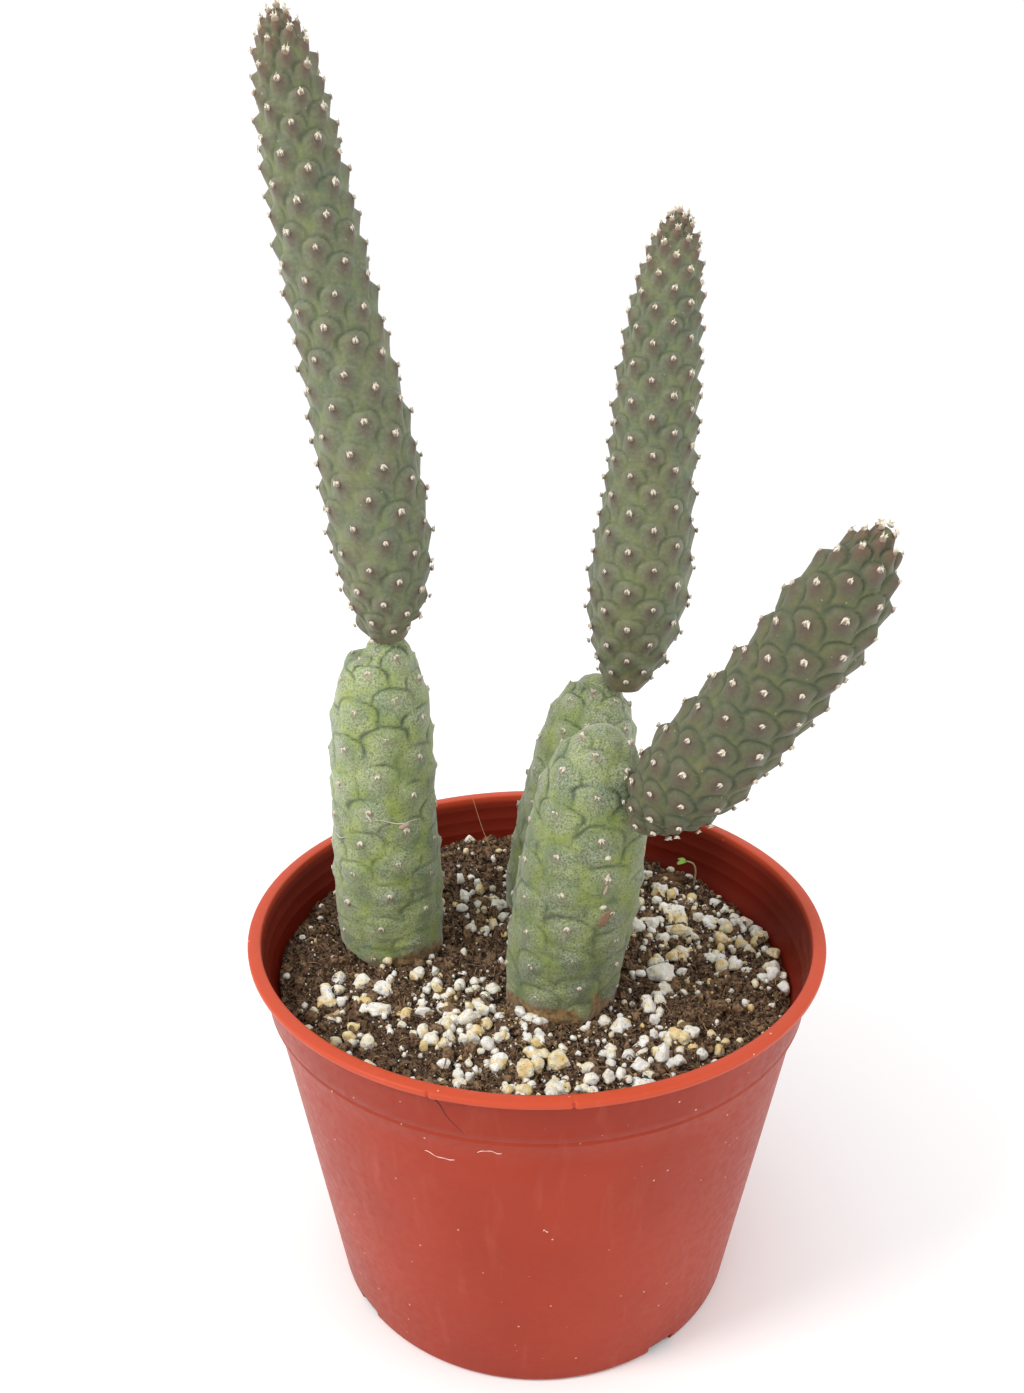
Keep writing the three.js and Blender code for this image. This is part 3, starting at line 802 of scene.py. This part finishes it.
def pot_outline():
    """Radius and height from the middle of the underside, up the outside and down the inside."""
    corner = [(BASE - 1.6 * (1 - math.sin(turn)), 1.6 * (1 - math.cos(turn)))
              for turn in np.linspace(0, math.pi / 2, 6)]
    lift = RIM["top"] - RIM["thick"]
    lip = [
        (COLLAR["top"], lift - 0.35), (COLLAR["top"] + 0.3, lift),
        (RIM["outer"] - 0.3, lift + 0.05), (RIM["outer"] - 0.05, lift + 0.3),
        (RIM["outer"], RIM["top"] - 0.55), (RIM["outer"] - 0.15, RIM["top"] - 0.15),
        (RIM["outer"] - 0.5, RIM["top"]), (RIM["inner"] + 0.5, RIM["top"]),
        (RIM["inner"] + 0.1, RIM["top"] - 0.12), (RIM["inner"], RIM["top"] - 0.45),
    ]
    body = [(BASE + (BODY_TOP - BASE) * part, 1.6 + (COLLAR["low"] - 2.6) * part)
            for part in np.linspace(0.03, 1, 14)]
    step = [
        (BODY_TOP + 0.15, COLLAR["low"] - 0.75), (COLLAR["foot"] - 0.35, COLLAR["low"] - 0.55),
        (COLLAR["foot"] - 0.05, COLLAR["low"] - 0.3), (COLLAR["foot"], COLLAR["low"] + 0.1),
        (COLLAR["foot"] - 0.12, COLLAR["low"] + 0.6), (COLLAR["foot"] - 0.1, COLLAR["low"] + 0.9),
        (COLLAR["foot"] + 0.12, COLLAR["low"] + 1.2),
    ]
    collar = [(COLLAR["foot"] + 0.12 + (COLLAR["top"] - COLLAR["foot"] - 0.12) * part,
               COLLAR["low"] + 1.2 + (lift - 0.7 - COLLAR["low"] - 1.2) * part)
              for part in np.linspace(0.15, 1, 6)]
    inside = []
    for height, radius in ((102.4, 72.35), (98.6, 71.8), (94.6, 71.25), (91.4, 70.75)):
        inside += [(radius, height), (radius - 0.32, height - 0.45), (radius - 0.36, height - 0.9)]
    inner = [(68.9 - 14.0 * part, 89.0 - 87.0 * part) for part in np.linspace(0, 1, 10)]
    floor = [(inner[-1][0] - 0.6, FLOOR), (30, FLOOR), (0.0, FLOOR)]
    return [(0.0, 0.0), (30, 0.0)] + corner + body + step + collar + lip + inside + inner + floor


def make_pot():
    outline = np.array(pot_outline())
    radius, height = outline[1:-1, 0], outline[1:-1, 1]
    turn = np.arange(POT_SIDES) / POT_SIDES * TAU
    for degrees, _ in NICKS:
        turn = np.append(turn, np.radians(degrees + np.linspace(-1.4, 1.4, 15)) % TAU)
    turn = np.unique(turn)
    sides = len(turn)
    radius = radius[:, None] * np.ones((1, sides))
    height = height[:, None] * np.ones((1, sides))
    lip = smoothstep(74.2, 75.6, radius)
    for degrees, deep in NICKS:
        off = ((turn - math.radians(degrees) + math.pi) % TAU - math.pi) * 75
        radius = radius - lip * deep * np.exp(-((off[None, :] / 0.35) ** 2))
        radius = radius + lip * 0.22 * np.exp(-np.abs(off[None, :] - 1.2) / 2) * (off[None, :] > 0)
    sag = 0.25 * np.sin(2 * turn + 0.6)[None, :] * smoothstep(60, 105, height)
    radius = radius + sag
    points = np.stack([radius * np.cos(turn), radius * np.sin(turn), height], axis=-1).reshape(-1, 3)
    rows = len(outline) - 2
    faces = grid_faces(rows, sides).tolist()
    points = np.concatenate([points, [[0, 0, 0], [0, 0, FLOOR]]])
    last = (rows - 1) * sides
    for side in range(sides):
        beside = (side + 1) % sides
        faces.append([len(points) - 2, beside, side])
        faces.append([len(points) - 1, last + side, last + beside])
    # inside marks the inner wall and floor, where the plastic gets its painted shade
    inner_row = int(np.argmax(outline[:, 1] * (outline[:, 0] < 72.7))) - 1
    inside = np.repeat((np.arange(rows) >= inner_row + 2).astype(float), sides)
    marks = {"inside": np.append(inside, [0, 1])}
    pot = add_piece("nursery_pot", points, faces, POT, ("pot",), marks)
    cut_drains(pot)
    add_wear()


def on_wall(degrees, height):
    """A place on the outside of the collar or body."""
    if height > COLLAR["low"] + 1.2:
        radius = np.interp(height, (91.2, 102.9), (71.82, 73.8))
    else:
        radius = np.interp(height, (1.6, 89.0), (BASE, BODY_TOP))
    turn = math.radians(degrees)
    radius = radius + 0.25 * math.sin(2 * turn + 0.6) * smoothstep(60, 105, height)
    return np.array([radius * math.cos(turn), radius * math.sin(turn), height])


def add_wear():
    """A hairline crack down the collar from a nick in the rim, and pale scuffs on the body."""
    heap = Heap()
    part = np.linspace(0, 1, 16)
    angle = -107.9 + 5.4 * part + 0.25 * np.sin(part * 9)
    height = 102.6 - 11.2 * part
    path = [on_wall(*place) for place in zip(angle, height)]
    points, faces = tube(path, 0.17 * (1.1 - part), 4)
    heap.add(points, faces, tone=0.0)
    scuffs = ((-111.2, 81.9, 6.0, 1.3), (-100.6, 86.4, 4.6, -0.9), (-88, 60, 0.9, 0.2))
    for degrees, level, reach, bend in scuffs:
        angle = degrees + reach * part
        height = level + 0.8 * np.sin(part * 5 + bend) * (1 - part) + 0.15 * np.sin(part * 13)
        path = [on_wall(*place) for place in zip(angle, height)]
        points, faces = tube(path, 0.07 + 0.06 * np.sin(part * 9) ** 2, 4)
        heap.add(points, faces, tone=1.0)
    look = Look("wear", 0.7)
    colour = look.mix(look.mark("tone"), (0.07, 0.010, 0.006), (0.80, 0.60, 0.52))
    heap.make("crack_and_scuffs", look.finish(colour), "pot_plastic")


def cut_drains(pot):
    cutter_mesh = bpy.data.meshes.new("drain_cutter")
    cutter_shape = bmesh.new()
    for degrees in DRAINS:
        made = bmesh.ops.create_cube(cutter_shape, size=1)["verts"]
        bmesh.ops.scale(cutter_shape, vec=(14 * MM, 8 * MM, 5.2 * MM), verts=made)
        bmesh.ops.translate(cutter_shape, vec=(BASE * MM, 0, 0), verts=made)
        bmesh.ops.rotate(
            cutter_shape,
            cent=(0, 0, 0),
            matrix=Matrix.Rotation(math.radians(degrees), 3, "Z"),
            verts=made,
        )
    cutter_shape.to_mesh(cutter_mesh)
    cutter_shape.free()
    cutter = bpy.data.objects.new("drain_cutter", cutter_mesh)
    bpy.context.scene.collection.objects.link(cutter)
    cut = pot.modifiers.new("drains", "BOOLEAN")
    cut.operation = "DIFFERENCE"
    cut.solver = "EXACT"
    cut.object = cutter
    bpy.context.view_layer.update()
    shaped = bpy.data.meshes.new_from_object(pot.evaluated_get(bpy.context.evaluated_depsgraph_get()))
    pot.modifiers.clear()
    pot.data = shaped
    bpy.data.objects.remove(cutter)


# ---------------------------------------------------------------- potting mix

MIX_STEPS = 240
FIBRES, CRUMBS, SMALL_GRAINS = 2600, 1500, 2600
MIX_LEVEL, MIX_SLOPE_X, MIX_SLOPE_Y = 90.2, -0.035, 0.04


def pot_inner_radius(height):
    return 54.9 + 14.0 * (height - FLOOR) / 87.2


def mix_height(x, y):
    """Height of the crumbly surface."""
    across = np.hypot(x, y)
    height = MIX_LEVEL + MIX_SLOPE_X * x + MIX_SLOPE_Y * y
    height = height + 0.8 * np.sin(0.1 * x + 1) * np.cos(0.1 * y)
    height = height + 1.0 * flat_lumps(x, y, 9, 31)
    clods = flat_lumps(x, y, 3.6, 32)
    height = height + 1.3 * (np.abs(clods) - 0.35) + 0.75 * flat_lumps(x, y, 1.9, 33)
    height = height + 0.45 * flat_lumps(x, y, 1.0, 34)
    return height - 1.6 * smoothstep(64, 70, across)


def square_to_disc(a, b):
    """Moves a square grid's points to a disc with little stretching."""
    wide = np.abs(a) > np.abs(b)
    reach = np.where(wide, a, b)
    ratio = np.divide(np.where(wide, b, a), reach, out=np.zeros_like(a), where=reach != 0)
    angle = np.where(wide, math.pi / 4 * ratio, math.pi / 2 - math.pi / 4 * ratio)
    return reach * np.cos(angle), reach * np.sin(angle)


def make_mix():
    a, b = np.meshgrid(*[np.linspace(-1, 1, MIX_STEPS)] * 2, indexing="ij")
    x, y = square_to_disc(a, b)
    across = np.hypot(x, y) + 1e-9
    level = mix_height(x / across * 68, y / across * 68)
    reach = pot_inner_radius(level) - 0.4
    x, y = x * reach, y * reach
    z = mix_height(x, y)
    top = np.stack([x, y, z], axis=-1).reshape(-1, 3)
    faces = grid_faces(MIX_STEPS, MIX_STEPS, closed=False)[:, ::-1].tolist()
    index = np.arange(MIX_STEPS**2).reshape(MIX_STEPS, MIX_STEPS)
    border = np.concatenate([index[:-1, 0], index[-1, :-1], index[:0:-1, -1], index[0, :0:-1]])
    rings = [border]
    points = [top]
    count = len(top)
    for height in (82.0, 45.0, FLOOR + 0.3):
        ring = top[border].copy()
        ring[:, :2] *= ((pot_inner_radius(height) - 0.5) / np.hypot(ring[:, 0], ring[:, 1]))[:, None]
        ring[:, 2] = height
        points.append(ring)
        rings.append(np.arange(count, count + len(border)))
        count += len(border)
    for upper, lower in zip(rings[:-1], rings[1:]):
        for side in range(len(border)):
            beside = (side + 1) % len(border)
            faces.append([upper[side], lower[side], lower[beside], upper[beside]])
    points.append(np.array([[0, 0, FLOOR + 0.3]]))
    for side in range(len(border)):
        faces.append([rings[-1][(side + 1) % len(border)], rings[-1][side], count])
    faces = [[int(corner) for corner in face] for face in faces]
    add_piece("peat_mix", np.concatenate(points), faces, PEAT, ("potting_mix",))


def open_ground(count, reach=67.5):
    """Random places on the mix that aren't under a stem."""
    places = []
    while len(places) < count:
        x, y = chance.uniform(-reach, reach, 2)
        if math.hypot(x, y) < reach and all(math.hypot(x - cx, y - cy) > r for cx, cy, r in FEET):
            places.append((x, y))
    return np.array(places)


def add_litter():
    """Peat fibres and crumbs."""
    heap = Heap()
    for x, y in open_ground(FIBRES):
        length = chance.uniform(1.2, 5.5)
        heading = chance.uniform(0, TAU)
        bend = chance.uniform(-1.6, 1.6)
        steps = np.linspace(-0.5, 0.5, 5)
        angle = heading + bend * steps
        px = x + np.cumsum(np.cos(angle)) * length / 5
        py = y + np.cumsum(np.sin(angle)) * length / 5
        keep = np.minimum(1, 68.0 / np.maximum(np.hypot(px, py), 1))
        px, py = px * keep, py * keep
        arch = chance.uniform(0.1, 1.2) * (0.25 - steps**2) * 4 + chance.uniform(0, 0.5)
        path = np.stack([px, py, mix_height(px, py) + arch], axis=-1)
        width = chance.uniform(0.06, 0.19)
        tone = chance.choice([0.1, 0.35, 0.6, 1.0], p=[0.29, 0.34, 0.24, 0.13])
        points, faces = tube(path, width * (1 - 1.2 * steps**2), 3)
        heap.add(points, faces, tone=tone)
    for x, y in open_ground(CRUMBS):
        size = 0.35 + 1.5 * chance.uniform() ** 2.5
        points, faces = BALLS[2 if size < 0.9 else 3]
        seed = int(size * 9999)
        swell = 0.55 * lumps(points, 0.9, seed) + 0.4 * lumps(points, 0.4, seed)
        shape = points * (0.9 + swell)[:, None]
        shape = shape * chance.uniform(0.5, 1.15, 3) * size
        z = mix_height(np.array(x), np.array(y))
        heap.add(shape + (x, y, z + 0.25 * size), faces, tone=chance.uniform(0, 0.35))
    heap.make("peat_litter", LITTER, "peat")


# Where the pale grains gather: x, y, spread, share
DRIFTS = (
    (42, 16, 14, 0.22), (4, -50, 15, 0.09), (26, -38, 14, 0.09), (-40, -20, 11, 0.07),
    (-14, -22, 9, 0.07), (-12, 22, 9, 0.05), (0, 56, 14, 0.04), (-12, -40, 14, 0.06),
)


def grain_shape(level, size, seed):
    """A knobbly rounded grain."""
    points, faces = BALLS[level]
    swell = 0.28 * lumps(points, 0.9, seed) + 0.18 * lumps(points, 0.42, seed + 1)
    if level > 3:
        swell = swell + 0.08 * lumps(points, 0.17, seed + 2)
    shape = points * (1 + swell)[:, None]
    for _ in range(5):
        facing = unit(chance.normal(size=3))
        over = np.maximum(shape @ facing - chance.uniform(0.62, 0.85), 0)
        shape = shape - over[:, None] * facing * 0.9
    return shape * size, faces


def unit(vector):
    return vector / np.linalg.norm(vector)


def add_small_grains():
    heaps = {"perlite": Heap(), "pumice": Heap()}
    made = 0
    while made < SMALL_GRAINS:
        pick = chance.uniform()
        for cx, cy, spread, share in DRIFTS:
            pick -= share
            if pick < 0:
                x, y = chance.normal((cx, cy), spread)
                break
        else:
            x, y = chance.uniform(-67, 67, 2)
        if math.hypot(x, y) > 67 or any(math.hypot(x - cx, y - cy) < r for cx, cy, r in FEET):
            continue
        made += 1
        size = 0.2 + 1.8 * chance.uniform() ** 4.2
        level = 1 if size < 0.6 else 2 if size < 1.4 else 3
        shape, faces = grain_shape(level, size * chance.uniform(0.75, 1.2, 3), made)
        z = mix_height(np.array(x), np.array(y)) + size * chance.uniform(0.0, 0.55)
        heaps["pumice" if chance.uniform() < 0.3 else "perlite"].add(shape + (x, y, z), faces)
    heaps["perlite"].make("small_perlite", PERLITE, "perlite")
    heaps["pumice"].make("small_pumice", PUMICE, "pumice")


def add_big_grains():
    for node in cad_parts:
        kind = node.split("_")[0]
        if kind not in ("perlite", "pumice"):
            continue
        low, high = box_mm(node)
        seed = int(node[-2:]) * 7 + (100 if kind == "pumice" else 0)
        shape, faces = grain_shape(4, (high - low) * 0.51, seed)
        middle = (low + high) / 2 - (0, 0, 0.25)
        add_piece(node.replace("_", "_grain_"), shape + middle, faces.tolist(),
                  PERLITE if kind == "perlite" else PUMICE, (node,))


# ---------------------------------------------------------------- bits on the mix


def add_bark():
    for number in (1, 2, 3):
        node = f"bark_chip_{number}"
        low, high = box_mm(node)
        points, faces = BALLS[4]
        boxy = np.sign(points) * np.abs(points) ** 0.7
        boxy = boxy * (1 + 0.16 * lumps(points * (1, 3, 6), 0.8, number * 5))[:, None]
        shape = boxy * (high - low) * (0.52, 0.44, 0.60)
        shape[:, 2] += 0.08 * shape[:, 0]
        add_piece(f"bark_flake_{number}", shape + (low + high) / 2, faces.tolist(), BARK, (node,))


def add_twig():
    low, high = box_mm("twig")
    along = np.linspace(0, 1, 22)
    path = low + 1.0 + (high - low - 2.0) * along[:, None]
    path[:, 2] = (low[2] + high[2]) / 2 + 0.2 * np.sin(along * math.pi)
    girth = 0.95 - 0.25 * along + 0.12 * np.sin(along * 21)
    girth[0] = girth[-1] = 0.55
    points, faces = tube(path, girth, 14)
    points = points + lumps(points, 0.6, 77)[:, None] * 0.14
    add_piece("dry_twig", points, faces, TWIG, ("twig",))


def add_seedling():
    low, high = box_mm("seedling")
    heap = Heap()
    foot = np.array([high[0] - 0.7, (low[1] + high[1]) / 2, low[2] - 1])
    crown = np.array([low[0] + 2.6, (low[1] + high[1]) / 2, high[2] - 0.6])
    part = np.linspace(0, 1, 16)
    path = foot + (crown - foot) * np.stack([part**3, part, 1 - (1 - part) ** 2.2], axis=-1)
    path[:, 0] += 0.7 * np.sin(part * math.pi)
    points, faces = tube(path, 0.33 - 0.1 * part, 8)
    heap.add(points, faces, leaf=0.15)
    ball_points, ball_faces = BALLS[3]
    for turn in (-0.85, 0.55):
        leaf = ball_points * (1.5, 0.95, 0.16)
        leaf[:, 2] += 0.22 * leaf[:, 1] ** 2 - 0.10 * leaf[:, 0] ** 2
        leaf[:, 0] -= 1.35
        spun = leaf.copy()
        spun[:, 0] = leaf[:, 0] * math.cos(turn) - leaf[:, 1] * math.sin(turn)
        spun[:, 1] = leaf[:, 0] * math.sin(turn) + leaf[:, 1] * math.cos(turn)
        heap.add(spun + crown, ball_faces, leaf=1.0)
    heap.make("sprout", SEEDLING, "seedling", ("seedling",))


def add_stray_thread():
    """A fine dry root hair that lies from the rim to the mix at the back left."""
    part = np.linspace(0, 1, 14)[:, None]
    path = np.array([-20.5, 69.2, 105.6]) * (1 - part) + np.array([-14.0, 56.0, 93.6]) * part
    path[:, 2] -= 1.2 * np.sin(part[:, 0] * math.pi)
    points, faces = tube(path, 0.09, 5)
    heap = Heap()
    heap.add(points, faces, tone=0.95)
    heap.make("stray_root_hair", LITTER, "peat")


# ---------------------------------------------------------------- stage, light and camera


def add_light(name, place, target, size, power, colour=(1, 1, 1)):
    lamp = bpy.data.lights.new(name, "AREA")
    lamp.shape = "DISK"
    lamp.size = size
    lamp.energy = power
    lamp.color = colour
    holder = bpy.data.objects.new(name, lamp)
    holder.location = place
    aim = Vector(target) - Vector(place)
    holder.rotation_euler = aim.to_track_quat("-Z", "Y").to_euler()
    bpy.context.scene.collection.objects.link(holder)


def set_stage():
    mesh = bpy.data.meshes.new("floor")
    mesh.from_pydata([(-6, -6, 0), (6, -6, 0), (6, 6, 0), (-6, 6, 0)], [], [(0, 1, 2, 3)])
    mesh.materials.append(floor_look())
    floor = bpy.data.objects.new("floor", mesh)
    bpy.context.scene.collection.objects.link(floor)
    world = bpy.data.worlds.new("studio")
    world.use_nodes = True
    background = world.node_tree.nodes["Background"]
    background.inputs["Color"].default_value = (1.0, 1.0, 1.0, 1)
    background.inputs["Strength"].default_value = 1.08
    bpy.context.scene.world = world
    add_light("key", (-0.75, -0.45, 0.95), (0, 0, 0.14), 0.4, 8.0, (1.0, 0.98, 0.95))
    add_light("fill", (0.9, -0.35, 0.6), (0, 0, 0.12), 0.6, 1.5)
    bpy.context.scene.view_settings.view_transform = "Standard"


# Where the camera stands, in metres, how far it looks down and aside, in degrees, and its sensor
# and focal length, in millimetres, all solved from the pot's rim, collar and base.
CAMERA_PLACE = (0, -0.30079, 0.29158)
CAMERA_DOWN, CAMERA_ASIDE = 22.2, -1.24
SENSOR, FOCAL_LENGTH = 36, 33.59655


def set_camera():
    """The camera stands 0.30 m in front of the pot's axis and looks down at it by 22 degrees."""
    lens = bpy.data.cameras.new("camera")
    lens.sensor_width = SENSOR
    lens.lens = FOCAL_LENGTH
    lens.clip_start = 0.01
    camera = bpy.data.objects.new("camera", lens)
    camera.location = CAMERA_PLACE
    down, aside = math.radians(CAMERA_DOWN), math.radians(CAMERA_ASIDE)
    ahead = Vector((math.sin(aside) * math.cos(down), math.cos(aside) * math.cos(down), -math.sin(down)))
    camera.rotation_euler = ahead.to_track_quat("-Z", "Y").to_euler()
    bpy.context.scene.collection.objects.link(camera)
    bpy.context.scene.camera = camera


# ---------------------------------------------------------------- make everything

WOOL = areole_look()
POT = pot_look()
PEAT = peat_look()
LITTER = litter_look()
PERLITE = grain_look("perlite", (0.93, 0.92, 0.88), (0.84, 0.72, 0.45), 0.13)
PUMICE = grain_look("pumice", (0.90, 0.82, 0.56), (0.76, 0.54, 0.20), 0.23)
BARK = bark_look()
TWIG = twig_look()
SEEDLING = seedling_look()

OLD_STEM = old_stem_look("old_stem", 1.0)
# painted shade: a darker copy of the old skin for the front segment
SHADED_STEM = old_stem_look("old_stem_front_painted_shade", 0.84)
YOUNG_STEM = young_stem_look("young_stem", (0.122, 0.138, 0.062), (0.135, 0.118, 0.085), 0.6)
DUSKY_STEM = young_stem_look("dusky_stem", (0.085, 0.092, 0.034), (0.088, 0.066, 0.046), 0.8)
FEET = []
for plant in ("left", "back", "front"):
    centres, radii = slice_node(f"{plant}_lower_segment", 40)
    level = int(np.argmin(np.abs(centres[:, 2] - MIX_LEVEL)))
    FEET.append((centres[level, 0], centres[level, 1], radii[level]))
    add_stem(f"{plant}_lower_segment", SHADED_STEM if plant == "front" else OLD_STEM, True)
    add_stem(f"{plant}_upper_segment", DUSKY_STEM if plant == "front" else YOUNG_STEM, False)

add_scars()
make_pot()
make_mix()
add_litter()
add_small_grains()
add_big_grains()
add_bark()
add_twig()
add_seedling()
add_stray_thread()
set_stage()
set_camera()
